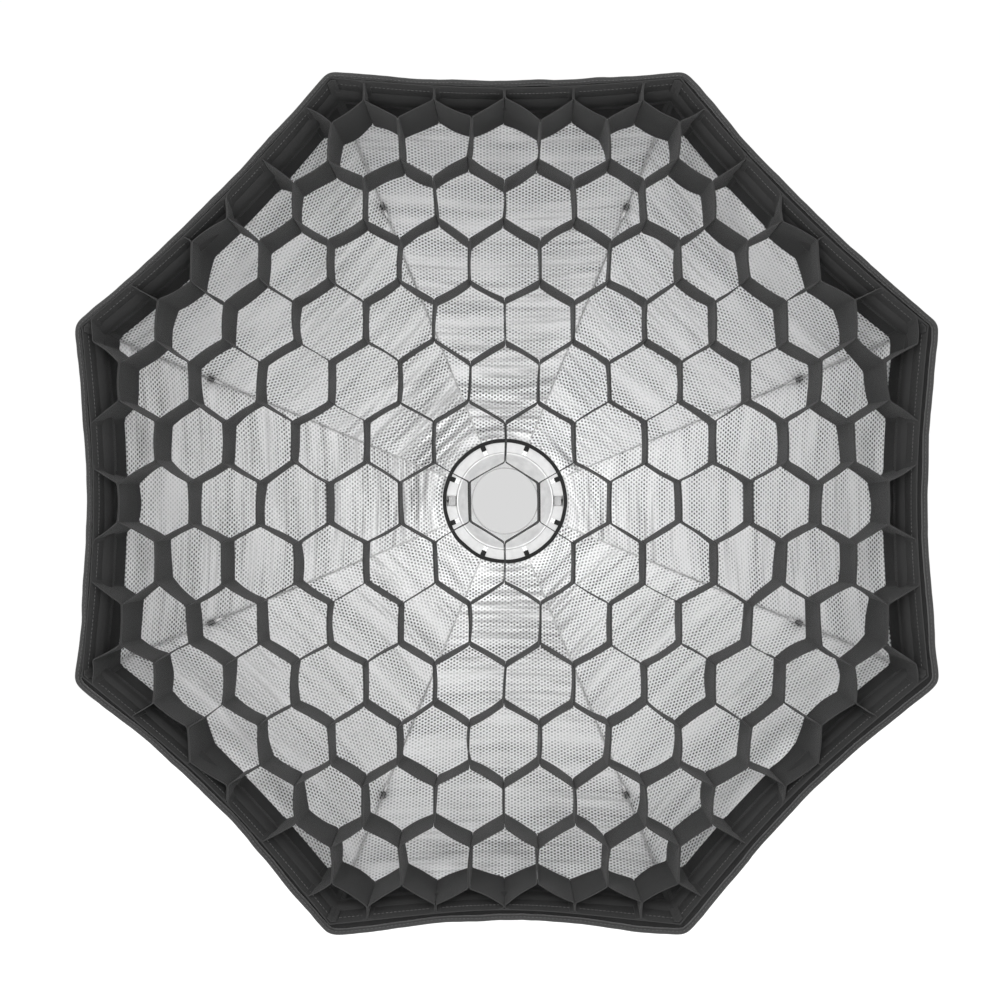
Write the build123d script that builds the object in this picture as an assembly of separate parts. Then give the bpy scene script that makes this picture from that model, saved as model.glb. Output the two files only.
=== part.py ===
from build123d import *
import math
import os

# Octagonal softbox with a fabric honeycomb grid, on a bayonet mount for studio lights.
# Millimetres. The optical axis is Y: the open front faces -Y and +Z is up.
# The origin is on the axis, in the plane of the mount plate's rear face.

# ---- driving dimensions --------------------------------------------------------------
SIDES = 8
STEP = 360 / SIDES
HALF = STEP / 2
COS_HALF = math.cos(math.radians(HALF))
SIN_HALF = math.sin(math.radians(HALF))

CORNER_RADIUS = 600.0          # hem, axis to corner
FRONT_Y = -455.0               # front plane of the hem
HEM_DEPTH = 14.0
HEM_REAR_Y = FRONT_Y + HEM_DEPTH
HEM_FRONT_WIDTH = 7.5
HEM_REAR_OUTER = 598.0
HEM_REAR_INNER = 586.5
HEM_OUTER_ROUNDING = 12.0
HEM_INNER_ROUNDING = 5.0

# Rods: circular arcs in the eight corner planes, given as (radius, y) of their centre line
ROD_RADIUS = 3.0
ROD_ROOT = (96.0, -24.0)
ROD_TIP = (589.8, -437.5)
ROD_TURN = 50.0                # degrees that the rod turns from root to tip
ROD_ROOT_LENGTH = 11.0         # straight end inside the speed ring
SLEEVE_INNER = 3.1
SLEEVE_OUTER = 3.5
CAP_LENGTH = 16.0

# Cloth, as offsets from the rods' centre line, outward positive
SHELL_OFFSET = 4.6
SHELL_THICKNESS = 1.0
SHELL_HUB_EXTRA = 4.8
LINER_OFFSET = -3.6
LINER_THICKNESS = 0.8
LINER_HUB_EXTRA = -7.0
HUB_BLEND = 0.3                # part of the rod's length over which the hub extras fade out
GORE_SECTIONS = 9
GORE_OVERRUN = 0.9             # degrees of arc beyond the rod's tip, trimmed at the hem
SAG_MIDDLE = 0.052             # inward bow of a panel, as a part of its chord
SAG_ENDS = 0.024
SHELL_HUB_RADIUS = 96.0
LINER_HUB_RADIUS = 93.0

# Black lip inside the mouth, and the hook-and-loop tapes that hold the grid
LIP_REAR_Y = -395.0
LIP_THICKNESS = 0.8
LIP_CLEARANCE = 4.2
TAPE_THICKNESS = 1.0
TAPE_WIDTH = 28.0
TAPE_FRONT_Y = HEM_REAR_Y + 1.0
SEWN_GAP = 0.2
PEEL_GAP = 0.9
BORDER_REAR_GAP = 1.2

# Honeycomb grid
CELL_WIDTH = 91.2              # flat to flat, the pitch of the cells along X
CELL_SIDE = CELL_WIDTH / math.sqrt(3)
ROW_PITCH = 1.5 * CELL_SIDE
STRIP_PITCH = CELL_WIDTH / 2
STRIPS = 24
STRIPS_PER_NODE = 3
STRIP_THICKNESS = 0.8
GRID_FRONT_Y = FRONT_Y + 2.0
GRID_DEPTH = 62.0
GRID_REAR_Y = GRID_FRONT_Y + GRID_DEPTH
BORDER_FRONT_CORNER = 589.0
BORDER_THICKNESS = 1.5
ROWS_EACH_WAY = 7
SMALLEST_PIECE = 40.0          # mm3, scraps of strip below this are left off

# Speed ring, mount and catches
RING_INNER = 73.0
RING_OUTER = 94.0
RING_FRONT_Y = -34.0
RING_REAR_Y = -14.0
RING_CHAMFER = 1.2
ADAPTER_OUTER = 72.6
ADAPTER_FLANGE = 84.0
ADAPTER_FLANGE_FRONT_Y = -13.6
CONE_FRONT = 70.5
CONE_REAR = 50.5
CONE_REAR_Y = -12.0
GROOVE_FLOOR = 69.6
GROOVE_Y = (-27.6, -22.4)
BORE_RADIUS = 49.0
COLLAR_OUTER = 53.0
COLLAR_REAR_Y = 12.0
COLLAR_FRONT_Y = -10.0
PLATE_RADIUS = 80.0
PLATE_THICKNESS = 3.0
PLATE_SCREW_CIRCLE = 66.0
PLATE_SCREWS = 4
SCREW_RADIUS = 1.7
SCREW_HEAD_RADIUS = 3.5
SCREW_HEAD_DEPTH = 1.8
LUGS = 3
LUG_OUTER = 59.0
LUG_Y = (6.0, 11.0)
LUG_ARC = 30.0
LUG_SCREW_RADIUS = 1.5
LUG_SCREW_FLOOR = 50.4
LUG_HEAD_RADIUS = 2.2
LUG_HEAD_DEPTH = 1.6

SOCKET_RADIUS = 6.0
SOCKET_BORE = 3.7
SOCKET_LENGTH = 24.0
ROD_HOLE_RADIUS = 3.2
CLIP_CIRCLE = 77.0
CLIP_BAR = (8.0, 1.8, 1.2)     # length, width, thickness of each of the two crossed bars
TAB_INNER = 80.6
TAB_WIDTH = 7.5
TAB_THICKNESS = 1.2
FACE_GAP = 0.2
BINDING_INNER = 88.0
BINDING_DEPTH = 3.0
REAR_BINDING = (95.2, 99.6, -13.6, -10.6)

POCKET = (72.0, 92.4, -22.2, 7.8)        # inner radius, outer radius, floor y, half width
CATCH_BODY = (74.0, 84.0, -32.8, -22.8, 7.4)
CATCH_TONGUE = (70.4, -27.2, -22.8, 5.0)
CATCH_PAD = (74.6, 83.4, -36.2, 7.0)
CATCH_RIDGE = 1.0
COVER_INNER = 87.2
COVER_DEPTH = 1.0
SPRING_RADIUS = 2.6
SPRING_WIRE = 0.35
SPRING_TURNS = 6
SPRING_Y = -28.0

# Inner diffuser fittings on the liner's seams
HOOK_RADIUS_ON_ROD = 450.0
STRAP_WIDTH = 12.0
STRAP_THICKNESS = 1.6
STRAP_ROOT = -5.4
STRAP_TIP = -20.0
HOOK_BLOCK = (9.0, 4.0, 4.0)
HOOK_RING = 4.0
HOOK_WIRE = 1.3


# ---- the rod's arc, in the (radius, y) plane --------------------------------------------
def rod_circle():
    """Centre and radius of the rods' arc, and the angles of its root and tip in degrees."""
    run = (ROD_TIP[0] - ROD_ROOT[0], ROD_TIP[1] - ROD_ROOT[1])
    chord = math.hypot(*run)
    half_turn = math.radians(ROD_TURN / 2)
    radius = chord / (2 * math.sin(half_turn))
    outward = (-run[1] / chord, run[0] / chord)
    middle = ((ROD_TIP[0] + ROD_ROOT[0]) / 2, (ROD_TIP[1] + ROD_ROOT[1]) / 2)
    back_off = radius * math.cos(half_turn)
    centre = (middle[0] - outward[0] * back_off, middle[1] - outward[1] * back_off)
    root = math.degrees(math.atan2(ROD_ROOT[1] - centre[1], ROD_ROOT[0] - centre[0]))
    tip = math.degrees(math.atan2(ROD_TIP[1] - centre[1], ROD_TIP[0] - centre[0]))
    return centre, radius, root, tip


CENTRE, ROD_ARC, ROOT_ANGLE, TIP_ANGLE = rod_circle()


def rod_normal(angle):
    """Unit vector from the arc's centre, which points outward and to the rear."""
    return math.cos(math.radians(angle)), math.sin(math.radians(angle))


def rod_point(angle, offset=0.0):
    """Radius and y of a point on the rod's arc, moved outward by offset."""
    normal = rod_normal(angle)
    reach = ROD_ARC + offset
    return CENTRE[0] + normal[0] * reach, CENTRE[1] + normal[1] * reach


def rod_radius_at(y):
    """Radius of the rod's centre line at a height y."""
    return CENTRE[0] + math.sqrt(ROD_ARC**2 - (y - CENTRE[1]) ** 2)


def rod_angle_at_radius(radius):
    """Angle on the arc where the centre line has the given radius."""
    return math.degrees(math.acos((radius - CENTRE[0]) / ROD_ARC))


def sag(radius):
    """Inward bow of the cloth between two rods that are both at the given radius."""
    along = (radius - CORNER_RADIUS / 2) / (CORNER_RADIUS / 2)
    part = SAG_MIDDLE - (SAG_MIDDLE - SAG_ENDS) * min(along**2, 1.0)
    return part * 2 * radius * SIN_HALF


# ---- helpers ---------------------------------------------------------------------------
def turned(shape, angle):
    """The shape turned about the optical axis, from +X towards +Z."""
    return Rot(0, -angle, 0) * shape


def corner_angles():
    return [HALF + STEP * k for k in range(SIDES)]


def all_round(shape, angles):
    return [turned(shape, angle) for angle in angles]


def polygon(points):
    """Face from (radius, y) points in the XY plane, ready to revolve about Y."""
    return make_face(Polyline(*points, close=True))


def ring(inner, outer, y_low, y_high):
    """Round ring about the optical axis."""
    profile = polygon([(inner, y_low), (outer, y_low), (outer, y_high), (inner, y_high)])
    return revolve(profile, Axis.Y)


def block(x_low, x_high, y_low, y_high, half_width):
    """Box on the +X side, centred on Z."""
    size = (x_high - x_low, y_high - y_low, 2 * half_width)
    middle = ((x_low + x_high) / 2, (y_low + y_high) / 2, 0)
    return Pos(*middle) * Box(*size)


def rod_along(radius, start, direction, length):
    """Cylinder in the XY plane from start along direction."""
    plane = Plane(origin=(start[0], start[1], 0), z_dir=(direction[0], direction[1], 0))
    return plane * Cylinder(radius, length, align=(Align.CENTER, Align.CENTER, Align.MIN))


# ---- octagonal rings with bowed sides -----------------------------------------------------
def octagon(corner, rounding=0.0):
    """Face in the XZ plane: eight corners joined by arcs that bow inward."""
    middle = corner * COS_HALF - sag(corner)
    arcs = []
    for k in range(SIDES):
        start, end = math.radians(HALF + STEP * k), math.radians(HALF + STEP * (k + 1))
        centre = (start + end) / 2
        arcs.append(
            ThreePointArc(
                (corner * math.cos(start), corner * math.sin(start)),
                (middle * math.cos(centre), middle * math.sin(centre)),
                (corner * math.cos(end), corner * math.sin(end)),
            )
        )
    face = make_face(arcs)
    if rounding:
        face = fillet(face.vertices(), rounding)
    return Plane.XZ * face


def octagon_volume(front_y, front_corner, rear_y, rear_corner, rounding=0.0):
    """Solid between two octagons, with straight lines from front to rear."""
    front = Pos(0, front_y, 0) * octagon(front_corner, rounding)
    rear = Pos(0, rear_y, 0) * octagon(rear_corner, rounding)
    return loft([front, rear], ruled=True)


def octagon_band(front_y, front_corner, rear_y, rear_corner, thickness):
    """Thin octagonal band; the corners are those of its outer face."""
    inset = thickness / COS_HALF
    outer = octagon_volume(front_y, front_corner, rear_y, rear_corner)
    inner = octagon_volume(front_y, front_corner - inset, rear_y, rear_corner - inset)
    return outer - inner


def lip_corner(y):
    """Corner radius of the lip's outer face, on the straight line between its two ends."""
    front = rod_radius_at(HEM_REAR_Y) - LIP_CLEARANCE
    rear = rod_radius_at(LIP_REAR_Y) - LIP_CLEARANCE
    along = (y - HEM_REAR_Y) / (LIP_REAR_Y - HEM_REAR_Y)
    return front + (rear - front) * along


BORDER_REAR_CORNER = (
    lip_corner(GRID_REAR_Y)
    - (LIP_THICKNESS + 2 * TAPE_THICKNESS + 2 * SEWN_GAP + PEEL_GAP + BORDER_REAR_GAP) / COS_HALF
)


def border_corner(y):
    """Corner radius of the border's outer face."""
    along = (y - GRID_FRONT_Y) / GRID_DEPTH
    return BORDER_FRONT_CORNER + (BORDER_REAR_CORNER - BORDER_FRONT_CORNER) * along


def front_hem():
    outer = octagon_volume(
        FRONT_Y, CORNER_RADIUS, HEM_REAR_Y, HEM_REAR_OUTER, HEM_OUTER_ROUNDING
    )
    inner = octagon_volume(
        FRONT_Y,
        CORNER_RADIUS - HEM_FRONT_WIDTH,
        HEM_REAR_Y,
        HEM_REAR_INNER,
        HEM_INNER_ROUNDING,
    )
    return outer - inner


def front_lip():
    return octagon_band(
        HEM_REAR_Y, lip_corner(HEM_REAR_Y), LIP_REAR_Y, lip_corner(LIP_REAR_Y), LIP_THICKNESS
    )


def loop_tape():
    inset = (LIP_THICKNESS + SEWN_GAP) / COS_HALF
    rear_y = TAPE_FRONT_Y + TAPE_WIDTH
    return octagon_band(
        TAPE_FRONT_Y,
        lip_corner(TAPE_FRONT_Y) - inset,
        rear_y,
        lip_corner(rear_y) - inset,
        TAPE_THICKNESS,
    )


def hook_tape():
    outset = (TAPE_THICKNESS + SEWN_GAP) / COS_HALF
    rear_y = TAPE_FRONT_Y + TAPE_WIDTH
    return octagon_band(
        TAPE_FRONT_Y,
        border_corner(TAPE_FRONT_Y) + outset,
        rear_y,
        border_corner(rear_y) + outset,
        TAPE_THICKNESS,
    )


def grid_border():
    return octagon_band(
        GRID_FRONT_Y, BORDER_FRONT_CORNER, GRID_REAR_Y, BORDER_REAR_CORNER, BORDER_THICKNESS
    )


# ---- honeycomb strips -----------------------------------------------------------------------
def ribbon(points, thickness):
    """Face of even thickness along a polyline in the XZ plane, with mitred turns."""
    sides = ([], [])
    for index, point in enumerate(points):
        before = points[max(index - 1, 0)]
        after = points[min(index + 1, len(points) - 1)]
        arrive = Vector(point[0] - before[0], point[1] - before[1])
        leave = Vector(after[0] - point[0], after[1] - point[1])
        if index == 0:
            arrive = leave
        if index == len(points) - 1:
            leave = arrive
        bisector = arrive.normalized() + leave.normalized()
        across = Vector(-bisector.Y, bisector.X).normalized()
        square = Vector(-arrive.Y, arrive.X).normalized()
        reach = thickness / 2 / across.dot(square)
        for side, sign in zip(sides, (1, -1)):
            side.append((point[0] + sign * reach * across.X, point[1] + sign * reach * across.Y))
    outline = sides[0] + sides[1][::-1]
    return Plane.XZ * make_face(Polyline(*outline, close=True))


def strip_path(index):
    """Centre line of one corrugated strip, between the planes x = index and index + 1 pitches."""
    near = index * STRIP_PITCH + STRIP_THICKNESS / 2
    far = (index + 1) * STRIP_PITCH - STRIP_THICKNESS / 2
    points = []
    for row in range(-ROWS_EACH_WAY, ROWS_EACH_WAY + 1):
        x = near if (index + row) % 2 else far
        points.append((x, row * ROW_PITCH - CELL_SIDE / 2))
        points.append((x, row * ROW_PITCH + CELL_SIDE / 2))
    return points


def grid_strips():
    """All strips from -X to +X, each a list of the solids that are left inside the border."""
    inset = BORDER_THICKNESS / COS_HALF
    inside = octagon_volume(
        GRID_FRONT_Y, BORDER_FRONT_CORNER - inset, GRID_REAR_Y, BORDER_REAR_CORNER - inset
    )
    right_half = []
    for index in range(STRIPS // 2):
        face = Pos(0, GRID_REAR_Y, 0) * ribbon(strip_path(index), STRIP_THICKNESS)
        strip = extrude(face, GRID_DEPTH) & inside
        right_half.append([s for s in strip.solids() if s.volume > SMALLEST_PIECE])
    left_half = [[s.mirror(Plane.YZ) for s in strip] for strip in right_half]
    return left_half[::-1] + right_half


# ---- cloth gores between the rods --------------------------------------------------------------
def gore_section(angle, inner, outer):
    """Closed section across one gore, in the plane of its chord and its normal."""
    normal = rod_normal(angle)
    length = math.hypot(normal[0] * COS_HALF, normal[1])
    inward = Vector(-normal[0] * COS_HALF / length, -normal[1] / length, 0)
    bow = inward * sag(rod_point(angle)[0])
    corners = []
    middles = []
    for offset in (inner, outer):
        radius, y = rod_point(angle, offset)
        corners.append(
            (
                Vector(radius * COS_HALF, y, -radius * SIN_HALF),
                Vector(radius * COS_HALF, y, radius * SIN_HALF),
            )
        )
        middles.append(Vector(radius * COS_HALF, y, 0) + bow)
    near, far = corners
    return Face(
        Wire(
            [
                ThreePointArc(near[0], middles[0], near[1]).edge(),
                Line(near[1], far[1]).edge(),
                ThreePointArc(far[1], middles[1], far[0]).edge(),
                Line(far[0], near[0]).edge(),
            ]
        )
    )


def gore(offset, thickness, hub_extra, hub_radius, front_y):
    """One cloth panel on the +X side, trimmed round at the hub and flat at the front."""
    last = TIP_ANGLE - GORE_OVERRUN
    first = ROOT_ANGLE + GORE_OVERRUN
    sections = []
    for k in range(GORE_SECTIONS):
        along = k / (GORE_SECTIONS - 1)
        fade = max(0.0, 1 - along / HUB_BLEND) ** 2
        inner = offset + hub_extra * fade
        sections.append(gore_section(first + (last - first) * along, inner, inner + thickness))
    keep = Pos(0, front_y, 0) * Box(
        3 * CORNER_RADIUS,
        -2 * FRONT_Y,
        3 * CORNER_RADIUS,
        align=(Align.CENTER, Align.MIN, Align.CENTER),
    )
    core = Rot(90, 0, 0) * Cylinder(hub_radius, -4 * FRONT_Y)
    return (loft(sections) & keep) - core


def outer_panel():
    return gore(SHELL_OFFSET, SHELL_THICKNESS, SHELL_HUB_EXTRA, SHELL_HUB_RADIUS, HEM_REAR_Y)


def liner_panel():
    return gore(
        LINER_OFFSET - LINER_THICKNESS,
        LINER_THICKNESS,
        LINER_HUB_EXTRA,
        LINER_HUB_RADIUS,
        LIP_REAR_Y,
    )


# ---- rods ------------------------------------------------------------------------------------------
def along_rod(section, start, end):
    """Revolve a section, drawn at the start angle, along the rod's arc to the end angle."""
    axis = Axis((CENTRE[0], CENTRE[1], 0), (0, 0, -1))
    return revolve(section, axis, abs(start - end))


def rod_plane(angle):
    """Plane square to the rod at an angle of its arc, in the XY plane."""
    radius, y = rod_point(angle)
    normal = rod_normal(angle)
    return Plane(origin=(radius, y, 0), x_dir=(normal[0], normal[1], 0), z_dir=root_to_tip(angle))


def root_to_tip(angle):
    """Direction along the rod, away from the hub."""
    normal = rod_normal(angle)
    return (normal[1], -normal[0], 0)


def rod():
    bent = along_rod(rod_plane(ROOT_ANGLE) * Circle(ROD_RADIUS), ROOT_ANGLE, TIP_ANGLE)
    inward = [-part for part in root_to_tip(ROOT_ANGLE)]
    return bent + rod_along(ROD_RADIUS, ROD_ROOT, inward, ROD_ROOT_LENGTH)


def rod_sleeve():
    first = rod_angle_at_radius(ROD_ROOT[0] + SOCKET_LENGTH + 6)
    last = TIP_ANGLE + math.degrees((CAP_LENGTH + 2) / ROD_ARC)
    wall = Circle(SLEEVE_OUTER) - Circle(SLEEVE_INNER)
    return along_rod(rod_plane(first) * wall, first, last)


def rod_cap():
    """Moulded cap over the rod's tip, closed at its end."""
    first = TIP_ANGLE + math.degrees(CAP_LENGTH / ROD_ARC)
    wall = Circle(SLEEVE_OUTER) - Circle(ROD_RADIUS)
    cup = along_rod(rod_plane(first) * wall, first, TIP_ANGLE)
    end = rod_plane(TIP_ANGLE) * Cylinder(
        SLEEVE_OUTER, 2, align=(Align.CENTER, Align.CENTER, Align.MIN)
    )
    return cup + end


# ---- speed ring, mount and catches ------------------------------------------------------------------
def speed_ring():
    profile = polygon(
        [
            (RING_INNER, RING_FRONT_Y),
            (RING_OUTER - RING_CHAMFER, RING_FRONT_Y),
            (RING_OUTER, RING_FRONT_Y + RING_CHAMFER),
            (RING_OUTER, RING_REAR_Y - RING_CHAMFER),
            (RING_OUTER - RING_CHAMFER, RING_REAR_Y),
            (RING_INNER, RING_REAR_Y),
        ]
    )
    body = revolve(profile, Axis.Y)
    inner, outer, floor_y, half_width = POCKET
    pocket = block(inner, outer, 2 * RING_FRONT_Y, floor_y, half_width)
    body -= all_round(pocket, (0, 180))
    start = rod_point(ROOT_ANGLE)
    inward = [-part for part in root_to_tip(ROOT_ANGLE)]
    hole = rod_along(ROD_HOLE_RADIUS, start, inward, ROD_ROOT_LENGTH + 1)
    return body - all_round(hole, corner_angles())


def rod_socket():
    """Tube that carries a rod out of the speed ring, with a foot against the ring."""
    outward = root_to_tip(ROOT_ANGLE)
    start = (ROD_ROOT[0] - 6 * outward[0], ROD_ROOT[1] - 6 * outward[1])
    tube = rod_along(SOCKET_RADIUS, start, outward, SOCKET_LENGTH + 6)
    bore = rod_along(SOCKET_BORE, start, outward, SOCKET_LENGTH + 7)
    foot = block(RING_OUTER - 3, RING_OUTER + 4, ROD_ROOT[1] - 8, ROD_ROOT[1] + 5, 9)
    return (tube + foot) - bore - ring(1, RING_OUTER, 2 * RING_FRONT_Y, -RING_FRONT_Y)


def rod_clip():
    length, width, thickness = CLIP_BAR
    bar = Box(length, thickness, width)
    cross = Rot(0, 45, 0) * bar + Rot(0, -45, 0) * bar
    return Pos(CLIP_CIRCLE, RING_FRONT_Y - thickness / 2, 0) * cross


def adapter_ring():
    groove_front, groove_rear = GROOVE_Y
    profile = polygon(
        [
            (COLLAR_OUTER, -PLATE_THICKNESS),
            (ADAPTER_FLANGE, -PLATE_THICKNESS),
            (ADAPTER_FLANGE, ADAPTER_FLANGE_FRONT_Y),
            (ADAPTER_OUTER, ADAPTER_FLANGE_FRONT_Y),
            (ADAPTER_OUTER, groove_rear),
            (GROOVE_FLOOR, groove_rear),
            (GROOVE_FLOOR, groove_front),
            (ADAPTER_OUTER, groove_front),
            (ADAPTER_OUTER, RING_FRONT_Y + 0.8),
            (ADAPTER_OUTER - 0.8, RING_FRONT_Y),
            (CONE_FRONT, RING_FRONT_Y),
            (CONE_REAR, CONE_REAR_Y),
            (CONE_REAR, COLLAR_FRONT_Y),
            (COLLAR_OUTER, COLLAR_FRONT_Y),
        ]
    )
    return revolve(profile, Axis.Y) - plate_screws()


def mount_plate():
    collar = ring(BORE_RADIUS, COLLAR_OUTER, COLLAR_FRONT_Y, COLLAR_REAR_Y)
    flange = ring(COLLAR_OUTER - 1, PLATE_RADIUS, -PLATE_THICKNESS, 0)
    return collar + flange - plate_screws() - lug_screws()


def plate_screws():
    """Countersunk screws, flush with the plate's rear face."""
    shank = Pos(PLATE_SCREW_CIRCLE, 0, 0) * Rot(90, 0, 0) * Cylinder(
        SCREW_RADIUS, 10, align=(Align.CENTER, Align.CENTER, Align.MIN)
    )
    head = Pos(PLATE_SCREW_CIRCLE, 0, 0) * Rot(90, 0, 0) * Cone(
        SCREW_HEAD_RADIUS,
        SCREW_RADIUS,
        SCREW_HEAD_DEPTH,
        align=(Align.CENTER, Align.CENTER, Align.MIN),
    )
    return all_round(shank + head, [45 + 360 / PLATE_SCREWS * k for k in range(PLATE_SCREWS)])


def lug_angles():
    return [90 + 360 / LUGS * k for k in range(LUGS)]


def lug_screws():
    """Countersunk screws that run from each lug into the collar."""
    middle_y = sum(LUG_Y) / 2
    inward = (-1, 0, 0)
    shank = rod_along(
        LUG_SCREW_RADIUS, (LUG_OUTER - 1, middle_y), inward, LUG_OUTER - 1 - LUG_SCREW_FLOOR
    )
    head = rod_along(
        LUG_HEAD_RADIUS, (LUG_OUTER - 0.4, middle_y), inward, LUG_HEAD_DEPTH
    )
    return all_round(shank + head, lug_angles())


def bayonet_lugs():
    section = polygon(
        [
            (COLLAR_OUTER, LUG_Y[0]),
            (LUG_OUTER, LUG_Y[0]),
            (LUG_OUTER, LUG_Y[1] - 1),
            (LUG_OUTER - 1, LUG_Y[1]),
            (COLLAR_OUTER, LUG_Y[1]),
        ]
    )
    lug = turned(revolve(section, Axis.Y, LUG_ARC), LUG_ARC / 2)
    access = rod_along(
        LUG_HEAD_RADIUS, (LUG_OUTER - 0.5, sum(LUG_Y) / 2), (1, 0, 0), 3
    )
    lug -= access
    lugs = Compound(all_round(lug, lug_angles()))
    return (lugs - lug_screws()).solids()


def catch():
    """Sprung catch on the +X side; its tongue sits in the adapter's groove."""
    x_low, x_high, y_low, y_high, half_width = CATCH_BODY
    body = block(x_low, x_high, y_low, y_high, half_width)
    tip, tongue_front, tongue_rear, tongue_half = CATCH_TONGUE
    tongue = block(tip, x_low + 1, tongue_front, tongue_rear, tongue_half)
    pad_low, pad_high, pad_front, pad_half = CATCH_PAD
    pad = block(pad_low, pad_high, pad_front, y_low, pad_half)
    groove = Box(CATCH_RIDGE, CATCH_RIDGE, 3 * pad_half)
    for k in range(3):
        x = pad_low + (k + 1) * (pad_high - pad_low) / 4
        pad -= Pos(x, pad_front, 0) * groove
    return body + tongue + pad


def catch_spring():
    """Compression spring between the catch and the pocket's outer wall."""
    length = POCKET[1] - CATCH_BODY[1]
    margin = 2 * SPRING_WIRE
    path = Helix((length - margin) / SPRING_TURNS, length - margin, SPRING_RADIUS)
    section = Plane(origin=path @ 0, z_dir=path % 0) * Circle(SPRING_WIRE)
    coil = sweep(section, path=path, is_frenet=True)
    return Pos(CATCH_BODY[1] + margin / 2, SPRING_Y, 0) * Rot(0, 90, 0) * coil


def catch_cover():
    return block(
        COVER_INNER, POCKET[1], RING_FRONT_Y, RING_FRONT_Y + COVER_DEPTH, POCKET[3]
    )


# ---- small cloth pieces at the hub and on the seams -------------------------------------------------
def liner_binding():
    front = RING_FRONT_Y - FACE_GAP - BINDING_DEPTH
    return ring(BINDING_INNER, LINER_HUB_RADIUS, front, RING_FRONT_Y - FACE_GAP)


def liner_tab():
    rear = RING_FRONT_Y - FACE_GAP
    return block(TAB_INNER, BINDING_INNER - 0.1, rear - TAB_THICKNESS, rear, TAB_WIDTH / 2)


def rear_binding():
    return ring(*REAR_BINDING)


def seam_plane():
    """Plane square to the rod where the diffuser hooks are sewn; X points outward."""
    return rod_plane(rod_angle_at_radius(HOOK_RADIUS_ON_ROD))


def baffle_strap():
    length = STRAP_ROOT - STRAP_TIP
    strap = Box(length, STRAP_THICKNESS, STRAP_WIDTH)
    return seam_plane() * Pos((STRAP_ROOT + STRAP_TIP) / 2, 0, 0) * strap


def baffle_hook():
    width, height, thickness = HOOK_BLOCK
    base = Pos(STRAP_TIP - height / 2, 0, 0) * Box(height, thickness, width)
    path_axis = Axis((STRAP_TIP - height - HOOK_RING, 0, 0), (0, 1, 0))
    section = Plane(
        origin=(STRAP_TIP - height + HOOK_WIRE / 2, 0, 0), x_dir=(1, 0, 0), z_dir=(0, 0, 1)
    ) * Circle(HOOK_WIRE)
    return seam_plane() * (base + revolve(section, path_axis, 270))


# ---- nodes --------------------------------------------------------------------------------------------
def nodes():
    """Every node's name with the list of its solids."""
    found = {
        "adapter_ring": [adapter_ring()],
        "mount_plate": [mount_plate()],
        "plate_screws": plate_screws(),
        "bayonet_lugs": bayonet_lugs(),
        "lug_screws": lug_screws(),
        "speed_ring": [speed_ring()],
        "rod_sockets": all_round(rod_socket(), corner_angles()),
        "rod_clips": all_round(rod_clip(), corner_angles()),
        "rod_sleeves": all_round(rod_sleeve(), corner_angles()),
        "rod_caps": all_round(rod_cap(), corner_angles()),
        "rear_binding": [rear_binding()],
        "liner_binding": [liner_binding()],
        "liner_tabs": all_round(liner_tab(), corner_angles()),
        "front_hem": [front_hem()],
        "front_lip": [front_lip()],
        "loop_tape": [loop_tape()],
        "baffle_straps": all_round(baffle_strap(), corner_angles()),
        "baffle_hooks": all_round(baffle_hook(), corner_angles()),
        "catch_covers": all_round(catch_cover(), (0, 180)),
        "catch_right": [catch()],
        "catch_left": [turned(catch(), 180)],
        "catch_spring_right": [catch_spring()],
        "catch_spring_left": [turned(catch_spring(), 180)],
        "grid_border": [grid_border()],
        "hook_tape": [hook_tape()],
    }
    one_rod, one_shell, one_liner = rod(), outer_panel(), liner_panel()
    for k in range(SIDES):
        found[f"rod_{k + 1}"] = [turned(one_rod, HALF + STEP * k)]
        found[f"outer_panel_{k + 1}"] = [turned(one_shell, STEP * k)]
        found[f"liner_panel_{k + 1}"] = [turned(one_liner, STEP * k)]
    strips = grid_strips()
    for k in range(STRIPS // STRIPS_PER_NODE):
        group = strips[k * STRIPS_PER_NODE : (k + 1) * STRIPS_PER_NODE]
        found[f"grid_strips_{k + 1}"] = [solid for strip in group for solid in strip]
    return found


def main():
    os.makedirs("parts", exist_ok=True)
    for name, shapes in nodes().items():
        solids = [solid for shape in shapes for solid in shape.solids()]
        export_step(Compound(solids), f"parts/{name}.step")
        print(name, len(solids))


main()
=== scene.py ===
import bisect
import cmath
import math
import random

import bmesh
import bpy
from mathutils import Matrix, Vector, noise


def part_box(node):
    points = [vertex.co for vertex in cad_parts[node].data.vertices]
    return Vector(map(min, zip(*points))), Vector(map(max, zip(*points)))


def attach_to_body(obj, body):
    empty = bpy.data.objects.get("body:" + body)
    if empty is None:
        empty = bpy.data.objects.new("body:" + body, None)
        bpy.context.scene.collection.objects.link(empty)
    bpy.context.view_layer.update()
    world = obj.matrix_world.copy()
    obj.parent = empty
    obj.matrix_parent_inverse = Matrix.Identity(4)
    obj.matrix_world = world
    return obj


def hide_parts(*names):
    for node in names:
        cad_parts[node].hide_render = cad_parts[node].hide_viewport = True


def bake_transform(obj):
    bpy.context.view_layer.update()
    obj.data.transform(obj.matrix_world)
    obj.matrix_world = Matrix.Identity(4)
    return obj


scene = bpy.context.scene
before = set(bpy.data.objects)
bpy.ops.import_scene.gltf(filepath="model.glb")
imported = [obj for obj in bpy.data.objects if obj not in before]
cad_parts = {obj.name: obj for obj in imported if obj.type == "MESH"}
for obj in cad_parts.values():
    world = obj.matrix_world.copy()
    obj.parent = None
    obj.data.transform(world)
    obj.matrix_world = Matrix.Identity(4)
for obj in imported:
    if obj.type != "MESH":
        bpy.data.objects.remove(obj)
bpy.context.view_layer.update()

# ---- driving dimensions, metres and degrees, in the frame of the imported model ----
SIDES = 8
CIRCLE = 2 * math.pi
STEP = CIRCLE / SIDES
HALF = STEP / 2
COS_HALF = math.cos(HALF)
SIN_HALF = math.sin(HALF)

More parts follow.
